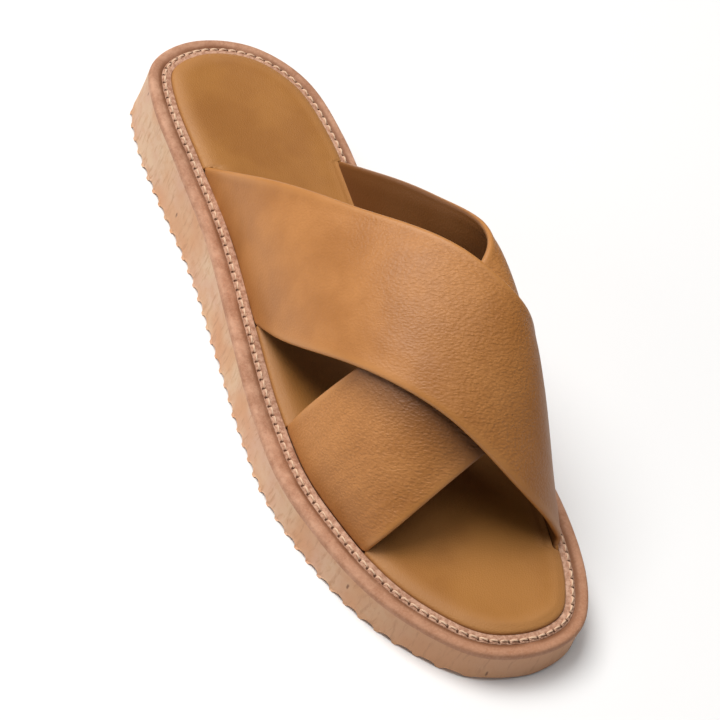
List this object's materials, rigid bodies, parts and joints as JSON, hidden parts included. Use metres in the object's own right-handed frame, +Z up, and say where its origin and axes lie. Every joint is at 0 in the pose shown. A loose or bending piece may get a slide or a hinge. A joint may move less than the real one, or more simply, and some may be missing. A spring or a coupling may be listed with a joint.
{
  "type": "slide sandal",
  "caption": "Right-foot slide sandal with wide leather straps that cross over the instep, a stitched welt and a ribbed crepe sole.",
  "frame": {"origin": "on the floor under the middle of the sandal's bounding box", "axes": "+Z up, the heel towards +Y and the toe towards -Y, the outer side of the right foot towards -X"},
  "size_m": [0.1066, 0.2892, 0.0903],
  "materials": {
    "crepe": "matte pale natural crepe with faint streaks",
    "midsole_leather": "pinkish brown burnished edge, satin",
    "welt_leather": "rough matte strip with cream and pink stitches",
    "insole_leather": "smooth tan footbed leather, satin",
    "strap_leather": "fine pebbled tan leather, satin",
    "stitch_thread": "waxed cream thread with a pink strand"
  },
  "bodies": {
    "root": {"outsole": "crepe", "midsole": "midsole_leather", "welt": "welt_leather", "insole": "insole_leather", "upper": "strap_leather"}
  },
  "joints": []
}
